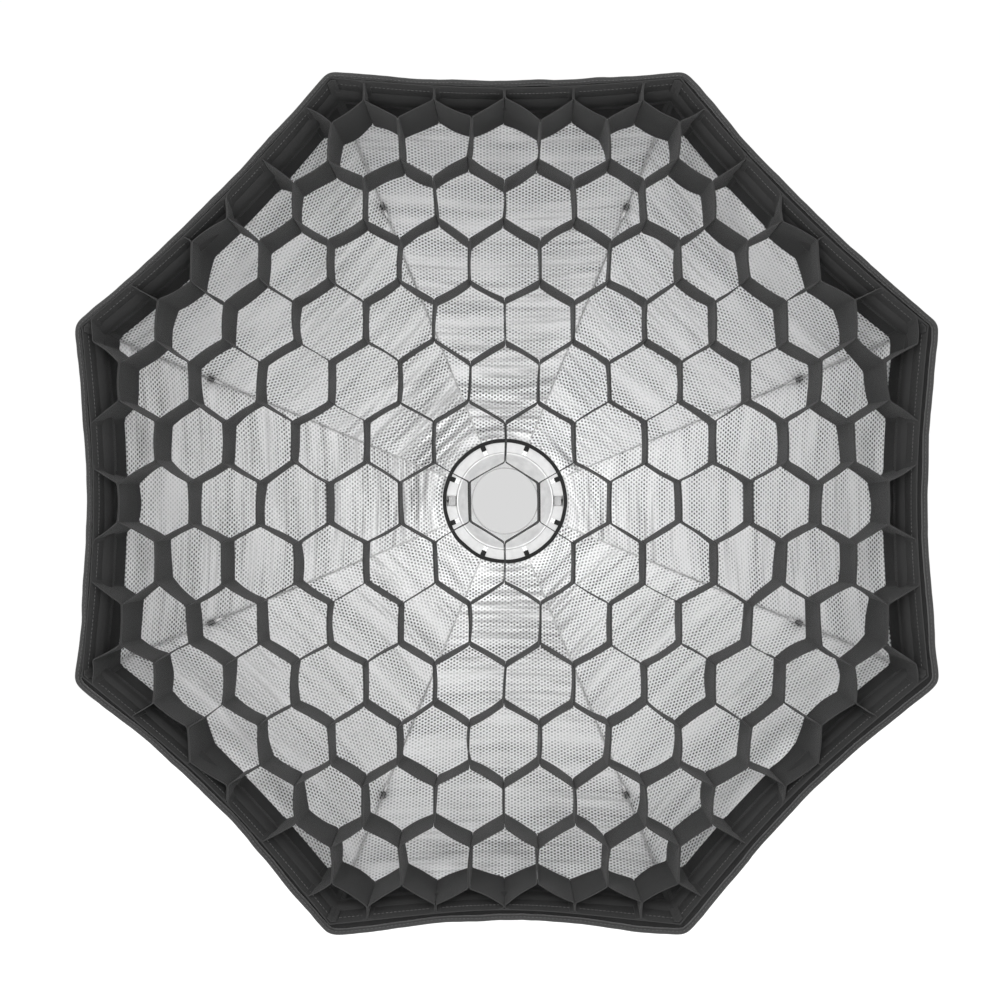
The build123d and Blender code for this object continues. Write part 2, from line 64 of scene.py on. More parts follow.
CORNERS = [HALF + STEP * k for k in range(SIDES)]
BACKWARD = Vector((0, 1, 0))

# The mouth: its bound hem, how far each side sags, and the tape inside it.
FRONT_Y, HEM_REAR_Y = (end.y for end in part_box("front_hem"))
CORNER = 0.600
HEM_CORNER = 0.604
HEM_WIDTH = 0.0068
HEM_SMOOTHING = 26
TAPE_FRONT_Y = HEM_REAR_Y + 0.001
TAPE_REAR_Y = TAPE_FRONT_Y + 0.028
TAPE_OUT = 0.0013
HEM_SHIFT = Vector((0.0025, 0, -0.0030))
SIDE_SAG = (0.0050, 0.0015, 0.0025, 0.0005, 0.0055, 0.0070, 0.0105, 0.0060)
BORDER_SAG_SHARE = 0.7

# The rods' arc as (radius, y), and how far the cloths lie outside it along the arc and at the hub.
ROD_ROOT = (0.096, -0.024)
ROD_TIP = (0.5898, -0.4375)
ROD_TURN = math.radians(50)
SHELL_OFFSET = 0.0052
SHELL_THICKNESS = 0.0008
LINER_OFFSET = -0.0040
LINER_THICKNESS = 0.0005
HUB_BLEND = 0.3
SHELL_HUB_EXTRA = 0.0048
LINER_HUB_EXTRA = -0.0070
LINER = (LINER_OFFSET, LINER_HUB_EXTRA, 0.10)
SHELL = (SHELL_OFFSET, SHELL_HUB_EXTRA, 0.08)
LINER_SEAM = (0.0021, 0.0014)
SHELL_SEAM = (0.0060, 0.0022)

# The lip inside the mouth, the small fittings and their stitches.
LIP_REAR_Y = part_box("front_lip")[1].y
LIP_INSET = 0.0042
LIP_THICKNESS = 0.0006
BAFFLE_RADIUS = 0.450
STITCH = 0.0036
COIL_TURNS = 6
COIL_WIRE = 0.00028

# The grid's border, its cells, and how the cells crowd and lean inward away from the middle.
GRID_FRONT_Y, GRID_REAR_Y = (end.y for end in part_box("grid_border"))
GRID_DEPTH = GRID_REAR_Y - GRID_FRONT_Y
BORDER_FRONT_CORNER = 0.5890
BORDER_STACK = 0.0053
BORDER_THICKNESS = 0.0012
FLARE = 0.0032
GRID_SHIFT = Vector((-0.0006, 0, -0.0022))
SQUEEZE_AT = 0.520
SQUEEZE = 0.006
CELL_WIDTH = 0.0912
CELL_SIDE = CELL_WIDTH / math.sqrt(3)
ROW_PITCH = 1.5 * CELL_SIDE
STRIP_PITCH = CELL_WIDTH / 2
STRIPS = 24
STRIPS_PER_NODE = 3
ROWS_EACH_WAY = 7
LEAN_AT = 0.497
LEAN = 0.0125
LEAN_POWER = 3.5
BASE_LEAN = 0.0016
BASE_LEAN_AT = 0.15

CAMERA_DISTANCE = 2.60
LENS = 72.6
FLOOR_Z = -1.1
FLOOR_GLOW = 0.25
WORLD = 1.02
# Painted shadow of the softbox on the surroundings straight behind: its edges in degrees off the
# axis, and its tone.
PAINTED_SHADOW_EDGES = (10.0, 4.0)
PAINTED_SHADOW_TONE = 0.68


# ---- the rods' arc and the cloth's shape ----
def rod_circle():
    """Centre, radius and end angles of the rods' arc in the (radius, y) plane."""
    root, tip = complex(*ROD_ROOT), complex(*ROD_TIP)
    chord = tip - root
    radius = abs(chord) / (2 * math.sin(ROD_TURN / 2))
    outward = chord / abs(chord) * 1j
    centre = (tip + root) / 2 - outward * radius * math.cos(ROD_TURN / 2)
    turns = cmath.phase(root - centre), cmath.phase(tip - centre)
    return (centre.real, centre.imag), radius, *turns


CENTRE, ROD_ARC, ROOT_ANGLE, TIP_ANGLE = rod_circle()


def rod_point(angle, offset=0.0):
    reach = ROD_ARC + offset
    return CENTRE[0] + math.cos(angle) * reach, CENTRE[1] + math.sin(angle) * reach


def rod_radius_at(y):
    return CENTRE[0] + math.sqrt(ROD_ARC**2 - (y - CENTRE[1]) ** 2)


def rod_angle_at_y(y, offset=0.0):
    return math.asin((y - CENTRE[1]) / (ROD_ARC + offset))


def along_arc(angle):
    return (angle - ROOT_ANGLE) / (TIP_ANGLE - ROOT_ANGLE)


def cloth_point(angle, offset, hub_extra):
    """Radius and depth of a cloth beside a rod, with its extra distance near the hub."""
    fade = max(0.0, 1 - along_arc(angle) / HUB_BLEND) ** 2
    return rod_point(angle, offset + hub_extra * fade)


def bow(radius):
    """How far the cloth between two rods bows inward at mid-side."""
    along = (radius - CORNER / 2) / (CORNER / 2)
    part = 0.052 - 0.028 * min(along**2, 1.0)
    return part * 2 * radius * SIN_HALF


def outline(angle, corner, inward):
    """Radius of an octagon with bowed sides at a polar angle; inward is the bow at mid-side."""
    local = (angle + HALF) % STEP - HALF
    reach = corner * COS_HALF
    radius = corner
    for _ in range(6):
        across = min(abs(radius * math.sin(local)) / (corner * SIN_HALF), 1.0)
        radius = (reach - inward * (1 - across**2)) / math.cos(local)
    return radius


def side_sag(angle):
    """Extra slack of each side of the mouth, fading out toward its corners."""
    local = (angle + HALF) % STEP - HALF
    return SIDE_SAG[round(angle / STEP) % SIDES] * math.cos(math.pi * local / STEP) ** 2


def polar(radius, y, angle):
    return Vector((radius * math.cos(angle), y, radius * math.sin(angle)))


def polar_parts(point):
    """Radius and angle of a point round the axis."""
    return math.hypot(point.x, point.z), math.atan2(point.z, point.x)


def tangent(angle):
    return Vector((-math.sin(angle), 0, math.cos(angle)))


def wobble(x, y, z):
    """Smooth noise between about -1 and 1."""
    return noise.noise(Vector((x, y, z)))


def rim_wobble(angle, scale, layer):
    """Smooth noise that closes on itself round the axis."""
    return wobble(math.cos(angle) * scale, math.sin(angle) * scale, layer)


def gore_frame(side, across, angle, cloth):
    """Point of the cloth between two rods: across runs from -1 to 1, angle along the rods' arc."""
    offset, hub_extra, round_until = cloth
    round_hub = max(0.0, 1 - along_arc(angle) / round_until) ** 1.5
    radius, y = cloth_point(angle, offset, hub_extra)
    flat = Vector((radius * COS_HALF, y, radius * SIN_HALF * across))
    point = flat.lerp(polar(radius, y, HALF * across), round_hub)
    normal = Vector((math.cos(angle) * COS_HALF, math.sin(angle), 0)).normalized()
    point -= normal * bow(radius) * (1 - across**2) * (1 - round_hub)
    turn = Matrix.Rotation(-side * STEP, 3, "Y")
    return turn @ point, turn @ normal


# ---- mesh helpers ----
def placed(name, data):
    obj = bpy.data.objects.new(name, data)
    scene.collection.objects.link(obj)
    return obj


class Surface:
    """Collects points, faces and UVs of one piece."""

    def __init__(self):
        self.points = []
        self.faces = []
        self.uvs = []

    def sheet(self, rows, columns, place, uv, flipped=False):
        """Adds a grid of points; place and uv take the row and column numbers."""
        first = len(self.points)
        for i in range(rows):
            for j in range(columns):
                self.points.append(place(i, j))
                self.uvs.append(uv(i, j))
        for i in range(rows - 1):
            for j in range(columns - 1):
                a = first + i * columns + j
                b = a + columns
                self.faces.append((a, b, b + 1, a + 1) if flipped else (a, a + 1, b + 1, b))

    def slab(self, rows, columns, place, normal, uv, thickness):
        """Adds a closed slab of even thickness about a grid of points."""
        first = len(self.points)
        size = rows * columns
        for side in (0.5, -0.5):

            def moved(i, j):
                return place(i, j) + normal(i, j) * (side * thickness)

            self.sheet(rows, columns, moved, uv, side < 0)
        rim = [first + j for j in range(columns)]
        rim += [first + i * columns + columns - 1 for i in range(1, rows)]
        rim += [first + (rows - 1) * columns + j for j in range(columns - 2, -1, -1)]
        rim += [first + i * columns for i in range(rows - 2, 0, -1)]
        for k, a in enumerate(rim):
            b = rim[(k + 1) % len(rim)]
            self.faces.append((a, a + size, b + size, b))

    def tube(self, centres, normals, binormals, profile, closed):
        """Sweeps a closed profile of (normal, binormal) offsets along a line of centres."""
        count = len(profile)
        first = len(self.points)
        length = 0.0
        for i, centre in enumerate(centres):
            if i:
                length += (centre - centres[i - 1]).length
            for j, (a, b) in enumerate(profile):
                self.points.append(centre + normals[i] * a + binormals[i] * b)
                self.uvs.append((length, j / count * 0.03))
        rings = len(centres)
        for i in range(rings if closed else rings - 1):
            a = first + i * count
            b = first + (i + 1) % rings * count
            for j in range(count):
                k = (j + 1) % count
                self.faces.append((a + j, a + k, b + k, b + j))
        if not closed:
            self.faces.append(tuple(range(first, first + count))[::-1])
            last = first + (rings - 1) * count
            self.faces.append(tuple(range(last, last + count)))

    def bead(self, centre, along, out, length, width, height):
        """Adds one rounded stitch."""
        across = along.cross(out).normalized()
        rings = ((-0.5, 0.0), (-0.36, 0.75), (0.0, 1.0), (0.36, 0.75), (0.5, 0.0))
        first = len(self.points)
        spokes = 6
        for share, swell in rings:
            for k in range(spokes):
                turn = CIRCLE * k / spokes
                sideways = across * (math.cos(turn) * width) + out * (math.sin(turn) * height)
                self.points.append(centre + along * (share * length) + sideways * (swell / 2))
                self.uvs.append((share * length, k / spokes * width))
        for i in range(len(rings) - 1):
            for k in range(spokes):
                a, b = first + i * spokes + k, first + i * spokes + (k + 1) % spokes
                self.faces.append((a, b, b + spokes, a + spokes))

    def build(self, name, material, sharp=math.radians(40)):
        """Makes the object, with smooth faces, sharp folds and one UV map in metres."""
        mesh = bpy.data.meshes.new(name)
        mesh.from_pydata([tuple(p) for p in self.points], [], self.faces)
        layer = mesh.uv_layers.new(name="cloth")
        for loop in mesh.loops:
            layer.data[loop.index].uv = self.uvs[loop.vertex_index]
        mesh.polygons.foreach_set("use_smooth", [True] * len(mesh.polygons))
        mesh.set_sharp_from_angle(angle=sharp)
        mesh.materials.append(material)
        mesh.validate()
        return placed(name, mesh)


def attach(piece, body, node=None):
    """Fixes a piece to its body and hides the CAD node that it stands for."""
    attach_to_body(piece, body)
    if node:
        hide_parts(node)


def closed_band(name, material, lengths, deep, depth, place, thickness):
    """Closed ring of cloth with two faces; place takes row, column and distance from its middle."""

    def uv(i, j):
        return lengths[i], depth * j / (deep - 1)

    rows = len(lengths)
    surface = Surface()
    for extra in (thickness / 2, -thickness / 2):
        surface.sheet(rows, deep, lambda i, j: place(i, j, extra), uv)
    size = rows * deep
    for i in range(rows - 1):
        for j in (0, deep - 1):
            a = i * deep + j
            surface.faces.append((a, a + deep, a + deep + size, a + size))
    piece = surface.build(name, material)
    clean_up(piece)
    return piece


def even_uv(across, along):
    """UVs of a strip from the sizes of its steps."""
    return lambda i, j: (i * across, j * along)


def rounded_box(width, height, corner, steps):
    """Profile points of a rounded rectangle centred on zero."""
    points = []
    for k, (sx, sy) in enumerate(((1, 1), (-1, 1), (-1, -1), (1, -1))):
        for s in range(steps + 1):
            turn = math.pi / 2 * (k + s / steps)
            x = sx * (width / 2 - corner) + corner * math.cos(turn)
            y = sy * (height / 2 - corner) + corner * math.sin(turn)
            points.append((x, y))
    return points


# ---- materials ----
def add_node(tree, kind, inputs=(), **settings):
    """Adds a shader node; an input is a number or another node's output."""
    made = tree.nodes.new("ShaderNode" + kind)
    for key, value in settings.items():
        setattr(made, key, value)
    for key, value in dict(inputs).items():
        if isinstance(value, bpy.types.NodeSocket):
            tree.links.new(value, made.inputs[key])
        else:
            made.inputs[key].default_value = value
    return made


def map_range(tree, value, low, high, to_low, to_high, **settings):
    ends = {"From Min": low, "From Max": high, "To Min": to_low, "To Max": to_high}
    return add_node(tree, "MapRange", {"Value": value, **ends}, **settings).outputs[0]


class Shader:
    """A principled material and short ways to add and join its nodes."""

    def __init__(self, name, **constants):
        self.material = bpy.data.materials.new(name)
        self.material.use_nodes = True
        self.tree = self.material.node_tree
        self.tree.nodes.clear()
        output = self.tree.nodes.new("ShaderNodeOutputMaterial")
        self.surface = self.tree.nodes.new("ShaderNodeBsdfPrincipled")
        self.join(self.surface.outputs[0], output.inputs["Surface"])
        for key, value in constants.items():
            self.surface.inputs[key.replace("_", " ")].default_value = value

    def join(self, source, target):
        self.tree.links.new(source, target)

    def node(self, kind, inputs=(), **settings):
        return add_node(self.tree, kind, inputs, **settings)

    def math(self, operation, a, b=0.0):
        return self.node("Math", {0: a, 1: b}, operation=operation).outputs[0]

    def uv(self):
        return self.node("UVMap", uv_map="cloth").outputs[0]

    def position(self):
        return self.node("TexCoord").outputs["Object"]

    def noise(self, vector, scale, detail=3.0, roughness=0.55):
        inputs = {"Vector": vector, "Scale": scale, "Detail": detail, "Roughness": roughness}
        return self.node("TexNoise", inputs).outputs["Fac"]

    def ramp(self, value, low, high, dark, light):
        """Mixes two colours as value goes from low to high."""
        share = self.spread(value, low, high, 0.0, 1.0)
        mixed = {0: share, 6: self.rgba(dark), 7: self.rgba(light)}
        return self.node("Mix", mixed, data_type="RGBA").outputs[2]

    @staticmethod
    def rgba(grey):
        return (grey, grey, grey, 1.0) if isinstance(grey, float) else (*grey, 1.0)

    def spread(self, *values, **settings):
        return map_range(self.tree, *values, **settings)

    def scaled(self, vector, *scale):
        return self.node("Mapping", {"Vector": vector, "Scale": scale}).outputs[0]

    def bump(self, height, strength, distance, under=None):
        inputs = {"Height": height, "Strength": strength, "Distance": distance}
        if under is not None:
            inputs["Normal"] = under
        return self.node("Bump", inputs).outputs[0]

    def clouded(self, cloudy, dark, light, rough, normal):
        """Finishes with a colour and a roughness that both follow a soft noise."""
        colour = self.ramp(cloudy, 0.35, 0.65, dark, light)
        return self.finish(colour, self.spread(cloudy, 0.3, 0.7, *rough), normal)

    def finish(self, colour, roughness, normal=None):
        for key, value in (("Base Color", colour), ("Roughness", roughness), ("Normal", normal)):
            if value is not None:
                self.join(value, self.surface.inputs[key])
        return self.material


def woven_cloth(name, dark, light, pitch=0.0009, sheen=0.25, rough=(0.62, 0.82), folds=0.25):
    """Plain-woven cloth: the weave in bump, uneven dye, faint creases and a soft sheen."""
    s = Shader(name, Sheen_Weight=sheen, Sheen_Roughness=0.45, Specular_IOR_Level=0.35)
    uv = s.uv()
    parts = s.node("SeparateXYZ", {0: uv})
    turns = CIRCLE / pitch
    warp = s.math("SINE", s.math("MULTIPLY", parts.outputs[0], turns))
    weft = s.math("SINE", s.math("MULTIPLY", parts.outputs[1], turns))
    weave = s.math("MULTIPLY", warp, weft)
    cloudy = s.noise(s.position(), 9.0)
    fine = s.noise(uv, 420.0, 2.0)
    tone = s.math("ADD", s.math("MULTIPLY", cloudy, 0.7), s.math("MULTIPLY", fine, 0.3))
    creases = s.bump(s.noise(s.position(), 26.0, 4.0), folds, 0.004)
    normal = s.bump(weave, 0.35, 0.0003, creases)
    colour = s.ramp(tone, 0.32, 0.68, dark, light)
    return s.finish(colour, s.spread(cloudy, 0.3, 0.7, *rough), normal)


def pile_tape(name, dark, light):
    """Hook-and-loop tape: a dense fuzzy pile."""
    s = Shader(name, Sheen_Weight=0.6, Sheen_Roughness=0.6, Specular_IOR_Level=0.2)
    fuzz = s.noise(s.uv(), 1300.0, 4.0, 0.7)
    return s.clouded(fuzz, dark, light, (0.8, 0.95), s.bump(fuzz, 0.9, 0.001))


def ribbed_tape(name, dark, light, pitch=0.0016):
    """Ribbed binding tape: fine ribs across its length."""
    s = Shader(name, Sheen_Weight=0.3, Sheen_Roughness=0.4, Specular_IOR_Level=0.35)
    parts = s.node("SeparateXYZ", {0: s.uv()})
    ribs = s.math("SINE", s.math("MULTIPLY", parts.outputs[0], CIRCLE / pitch))
    cloudy = s.noise(s.position(), 14.0)
    normal = s.bump(ribs, 0.45, 0.0004, s.bump(cloudy, 0.3, 0.003))
    return s.clouded(cloudy, dark, light, (0.6, 0.8), normal)


# Spacing and radius of the liner's pits, and the radii between which the painted shade of its folds
# fades.
PIT_WIDE = 0.0089
PIT_CLOSE = 0.0062
PIT_EDGE = 0.0024
FOLD_SHADE_RADII = (0.12, 0.28)


def embossed_silver(name, across_pitch, along_pitch):
    """Silver foil cloth embossed with staggered rows of round pits, with painted shade in the pits
    and painted shade streaks along its folds, deeper near the axis.
    """
    s = Shader(name, Metallic=0.22, Specular_IOR_Level=0.5)
    uv = s.uv()
    parts = s.node("SeparateXYZ", {0: uv})
    distances = []
    for shift in (0.0, 0.5):
        squares = []
        for axis, pitch in enumerate((across_pitch, along_pitch)):
            cells = s.math("ADD", s.math("DIVIDE", parts.outputs[axis], pitch), shift)
            off = s.math("SUBTRACT", s.math("FRACT", cells), 0.5)
            off = s.math("MULTIPLY", off, pitch)
            squares.append(s.math("MULTIPLY", off, off))
        distances.append(s.math("SQRT", s.math("ADD", *squares)))
    nearest = s.math("MINIMUM", *distances)
    pit = s.spread(nearest, 0.0004, PIT_EDGE, 1.0, 0.0, interpolation_type="SMOOTHSTEP")
    # bands mark where the pits are deeper, which deepens both their relief and their painted shade
    bands = s.noise(s.scaled(uv, 3.0, 17.0, 1.0), 1.6, 3.0, 0.6)
    depth = s.spread(bands, 0.36, 0.64, 0.25, 1.0)
    crumple = s.noise(uv, 38.0, 4.0, 0.6)
    # streaks: long fold marks, used for the bump and for the painted shade along the folds
    streaks = s.noise(s.scaled(uv, 8.0, 125.0, 1.0), 1.0, 3.0, 0.55)
    calm = s.spread(s.noise(s.position(), 4.5, 1.0), 0.40, 0.60, 0.0, 0.16)
    flat = s.scaled(s.position(), 1.0, 0.0, 1.0)
    from_axis = s.node("VectorMath", {0: flat}, operation="LENGTH").outputs["Value"]
    # strength of the painted shade along the folds: strongest near the axis, weaker further out
    fold_shade_strength = s.spread(from_axis, *FOLD_SHADE_RADII, 0.50, 0.20)
    # near the axis the mask is shifted so that more of the foil gets painted shade
    calm = s.math("SUBTRACT", calm, s.spread(from_axis, *FOLD_SHADE_RADII, 0.06, 0.0))
    # shade: where the foil gets painted shade along its folds
    shade = s.spread(s.math("ADD", streaks, calm), 0.38, 0.54, 1.0, 0.0)
    cloudy = s.noise(s.position(), 5.0)
    # shaded: how dark the painted shade in each pit is, from the pit mask and its depth
    shaded = s.math("MULTIPLY", pit, depth)
    folds = s.bump(streaks, 0.6, 0.0016, s.bump(crumple, 0.25, 0.003))
    normal = s.bump(s.math("SUBTRACT", 1.0, shaded), 1.0, 0.0012, folds)
    # tone: pale foil, with painted shade darkening the pits
    tone = s.ramp(shaded, 0.0, 0.85, (0.96, 0.96, 0.965), (0.04, 0.04, 0.042))
    # painted shade of the folds, which multiplies the foil's colour down
    painted_fold_shade = s.math("SUBTRACT", 1.0, s.math("MULTIPLY", fold_shade_strength, shade))
    foil = s.node("Mix", {0: 1.0, 6: tone, 7: painted_fold_shade}, data_type="RGBA", blend_type="MULTIPLY")
    return s.finish(foil.outputs[2], s.spread(cloudy, 0.3, 0.7, 0.34, 0.44), normal)


METAL = ((3.0, 0.7), (60.0, 4.0), (0.25, 0.0003))
PLASTIC = ((2.0, 0.55), (90.0, 3.0), (0.2, 0.0002))


def grained(name, dark, light, rough, scale, kind, **constants):
    """Metal or plastic: kind holds the settings of its fine grain, its clouds and its relief."""
    s = Shader(name, **constants)
    grain, clouds, relief = kind
    normal = s.bump(s.noise(s.position(), scale, *grain), *relief)
    return s.clouded(s.noise(s.position(), *clouds), dark, light, rough, normal)


def metal(name, dark, light, rough, metallic=1.0, scale=900.0):
    return grained(name, dark, light, rough, scale, METAL, Metallic=metallic)


def plastic(name, dark, light, rough, **constants):
    return grained(name, dark, light, rough, 1500.0, PLASTIC, **constants)


GRID_CLOTH = woven_cloth("grid_cloth", 0.008, 0.015, sheen=0.08, folds=0.12)
BORDER_CLOTH = woven_cloth("border_cloth", 0.009, 0.016, sheen=0.03, folds=0.6)
SHELL_CLOTH = woven_cloth("shell_cloth", 0.018, 0.034, pitch=0.0012, sheen=0.25, folds=0.6)
LIP_CLOTH = woven_cloth("lip_cloth", 0.008, 0.014, sheen=0.04, folds=0.3)
HEM_TAPE = ribbed_tape("hem_tape", 0.014, 0.024)
BINDING_TAPE = ribbed_tape("binding_tape", 0.008, 0.016)
LOOP_PILE = pile_tape("loop_pile", 0.012, 0.030)
HOOK_PILE = pile_tape("hook_pile", 0.010, 0.024)
THREAD = woven_cloth("thread", 0.030, 0.060, pitch=0.0004, sheen=0.3, rough=(0.5, 0.7), folds=0.0)
SILVER = embossed_silver("liner_silver", PIT_WIDE, PIT_CLOSE)
SILVER_TURNED = embossed_silver("liner_silver_turned", PIT_CLOSE, PIT_WIDE)
SEAM_SILVER = metal("seam_silver", 0.42, 0.62, (0.35, 0.5), 0.5, 400.0)
ALLOY = metal("cast_alloy", 0.62, 0.74, (0.55, 0.68), 0.55)
BRIGHT_ALLOY = metal("turned_alloy", 0.74, 0.88, (0.45, 0.58), 0.6)
STEEL = metal("mount_steel", 0.24, 0.34, (0.4, 0.5), 1.0, 1400.0)
SCREW = metal("screw_steel", 0.40, 0.60, (0.2, 0.35), 1.0, 2000.0)
ENAMEL = metal("black_enamel", 0.015, 0.028, (0.35, 0.5), 0.0, 500.0)
CHROME = metal("clip_chrome", 0.45, 0.60, (0.08, 0.2), 1.0, 2600.0)
ROD_STEEL = metal("rod_steel", 0.30, 0.42, (0.25, 0.4), 1.0, 1800.0)
CAP = plastic("cap_plastic", 0.015, 0.028, (0.45, 0.6))
CLEAR = {"Transmission_Weight": 0.35, "IOR": 1.49}
HOOK_PLASTIC = plastic("hook_plastic", 0.70, 0.88, (0.12, 0.25), **CLEAR)


# ---- pieces: shell and liner ----
def gore_area(offset, start, end):
    """Flat width, length and area of one gore between two angles of the arc."""
    steps = 40
    length = abs(end - start) * (ROD_ARC + offset)
    angles = [start + (end - start) * k / steps for k in range(steps + 1)]
    widths = [2 * SIN_HALF * rod_point(angle, offset)[0] for angle in angles]
    return max(widths), length, sum(widths) / len(widths) * length


def crinkle(side, across, along, radius):
    """Depth of the liner's folds: sharp pleats near the hub, soft waves further out."""
    wander = 0.6 * wobble(across * 1.1, along * 5.0, side * 2.7)
    pleats = wobble(across * radius * 7, along * 66 + wander * 3, side * 7.3)
    near = math.exp(-(((radius - 0.125) / 0.080) ** 2))
    waves = wobble(across * 1.4, along * 4.0, side * 3.1 + 20)
    ripples = wobble(across * 2.0, along * 22.0, side * 4.9 + 8)
    edge = 1 - across**2
    folds = pleats * 0.0021 * near + waves * 0.0020 + ripples * 0.0010 * (1 - near)
    strap = ((radius - BAFFLE_RADIUS) / 0.020) ** 2 + ((1 - abs(across)) / 0.10) ** 2
    tug = 0.0022 * math.exp(-strap) * (1 - abs(across) ** 16)
    return max(folds * edge, -0.0012) + tug


def gore(side, name, material, rows, columns, ends, offset, place, thickness, rests_on):
    """One gore of cloth: place takes the angle along the arc and the share across the gore."""
    start, end = ends

    def spot(i, j):
        return start + (end - start) * i / (rows - 1), 2 * j / (columns - 1) - 1

    def uv(i, j):
        angle, across = spot(i, j)
        return rod_point(angle)[0] * SIN_HALF * across + side * 0.7, abs(angle - start) * ROD_ARC

    surface = Surface()
    surface.sheet(rows, columns, lambda i, j: place(*spot(i, j)), uv)
    piece = surface.build(f"{name}_gore_{side + 1}", material)
    solidify = piece.modifiers.new("cloth", "SOLIDIFY")
    solidify.thickness = thickness
    solidify.offset = 0.0
    node = "liner_panel" if name == "liner" else "outer_panel"
    attach(piece, "softbox", f"{node}_{side + 1}")
    width, length, area = gore_area(offset, start, end)


def liner_gore(side):
    def place(angle, across):
        point, normal = gore_frame(side, across, angle, LINER)
        folds = crinkle(side, across, along_arc(angle), rod_point(angle)[0])
        return point - normal * (folds + LINER_THICKNESS)

    material = SILVER if side % 4 else SILVER_TURNED
    ends = (ROOT_ANGLE + 0.002, rod_angle_at_y(LIP_REAR_Y, LINER_OFFSET) - 0.004)
    cloth = (LINER_OFFSET, place, LINER_THICKNESS)
    gore(side, "liner", material, 250, 49, ends, *cloth, "liner_binding")


def shell_gore(side):
    def place(angle, across):
        point, normal = gore_frame(side, across, angle, SHELL)
        along = along_arc(angle)
        tug = math.sin(along * 34 + abs(across) * 9) * math.exp(-((1 - abs(across)) / 0.25) ** 2)
        soft = wobble(across * 2.2, along * 6.0, side * 5.7 + 3)
        fold = (tug * 0.0016 + (soft - 0.9) * 0.0028) * (1 - across**6)
        return to_hem(point - normal * fold)

    ends = (ROOT_ANGLE + 0.001, rod_angle_at_y(HEM_REAR_Y - 0.003, SHELL_OFFSET))
    cloth = (SHELL_OFFSET, place, SHELL_THICKNESS)
    gore(side, "shell", SHELL_CLOTH, 90, 45, ends, *cloth, "rod_sleeves")


def seams(name, offset, hub_extra, section, last_y, material):
    """Folded seams along the rods, one ribbon of rounded section at each corner."""
    surface = Surface()
    start, end = ROOT_ANGLE - 0.012, rod_angle_at_y(last_y, offset)
    width, height = section
    profile = rounded_box(height, width, min(height, width) * 0.45, 2)
    steps = 120
    for k, turn in enumerate(CORNERS):
        centres, normals, binormals = [], [], []
        for i in range(steps + 1):
            angle = start + (end - start) * i / steps
            wander = 0.0003 * wobble(i * 0.35, k * 9.1, 0)
            place = polar(*cloth_point(angle, offset, hub_extra), turn) + Vector((0, wander, 0))
            centres.append(to_hem(place, 0.0012) if offset > 0 else place)
            normals.append(polar(math.cos(angle), math.sin(angle), turn))
            binormals.append(tangent(turn))
        surface.tube(centres, normals, binormals, profile, False)
    attach(surface.build(name, material), "softbox")


# ---- pieces: octagonal bands, hem and stitches ----
def smoothed(points, passes):
    """Evens out a closed line of points, which rounds its corners."""
    for _ in range(passes):
        ahead = points[1:] + points[:1]
        points = [(points[i - 1] + p * 2 + ahead[i]) / 4 for i, p in enumerate(points)]
    return points


def running_length(points):
    """Distance along a line of points, at each of them."""
    found = [0.0]
    for a, b in zip(points, points[1:]):
        found.append(found[-1] + (b - a).length)
    return found


def band_angles(per_side):
    """Polar angles round the octagon, closer together near the corners."""
    found = []
    for k in range(SIDES):
        for i in range(per_side):
            share = i / per_side
            eased = share - math.sin(CIRCLE * share) / CIRCLE * 0.75
            found.append(HALF + STEP * (k + eased))
    return found


def hem_line():
    """Centre line of the hem: bowed sides, soft corners and a little unevenness."""
    corner = HEM_CORNER - HEM_WIDTH * 0.5
    points = []
    for angle in band_angles(HEM_STEPS):
        lump = rim_wobble(angle, 9, 4)
        sag_y = rim_wobble(angle, 5, 9)
        radius = outline(angle, corner, bow(corner)) - side_sag(angle) + 0.0018 * lump
        y = (FRONT_Y + HEM_REAR_Y) / 2 + 0.0008 * sag_y
        points.append(polar(radius, y, angle) + HEM_SHIFT)
    points = smoothed(points, HEM_SMOOTHING)
    for point in points:
        ripple = wobble(point.x * 55, point.z * 55, 2)
        swell = wobble(point.x * 15, point.z * 15, 7)
        point += point.normalized() * (0.0007 * ripple + 0.0030 * swell)
    return points


HEM_STEPS = 72
HEM_LINE = hem_line()
HEM_RADII, HEM_TURNS = zip(*map(polar_parts, HEM_LINE))
HEM_AHEAD = [(t - HEM_TURNS[0]) % CIRCLE for t in HEM_TURNS]
HEM_LENGTHS = running_length(HEM_LINE + HEM_LINE[:1])
MOUTH_REAR_Y = -0.385


def hem_radius(angle):
    """Radius of the hem's centre line at a polar angle."""
    turn = (angle - HEM_TURNS[0]) % CIRCLE
    k = max(bisect.bisect_right(HEM_AHEAD, turn) - 1, 0)
    following = HEM_AHEAD[k + 1] if k + 1 < len(HEM_AHEAD) else CIRCLE
    share = (turn - HEM_AHEAD[k]) / (following - HEM_AHEAD[k])
    after = HEM_RADII[(k + 1) % len(HEM_RADII)]
    return HEM_RADII[k] * (1 - share) + after * share


def to_hem(point, below=0.0):
    """Draws a point of the cloth near the mouth out to the hem that binds its edge."""
    share = (MOUTH_REAR_Y - point.y) / (MOUTH_REAR_Y - HEM_REAR_Y)
    if share <= 0:
        return point
    radius, angle = polar_parts(point)
    target = hem_radius(angle) + below
    moved = radius + (target - radius) * min(share, 1.0) ** 2
    return polar(moved, point.y, angle)


def hem_binding():
    """Bound front edge of the softbox, with its stitches."""
    centres, normals = HEM_LINE, []
    count = len(centres)
    for i in range(count):
        along = (centres[(i + 1) % count] - centres[i - 1]).normalized()
        out = along.cross(BACKWARD).normalized()
        if out.dot(centres[i]) < 0:
            out.negate()
        normals.append(out)
    depth = HEM_REAR_Y - FRONT_Y
    profile = rounded_box(HEM_WIDTH, depth, 0.0030, 3)
    surface = Surface()
    surface.tube(centres, normals, [BACKWARD] * count, profile, True)
    piece = surface.build("hem_binding", HEM_TAPE, math.radians(60))
    attach(piece, "softbox", "front_hem")
    hem_stitches(centres, normals, depth)


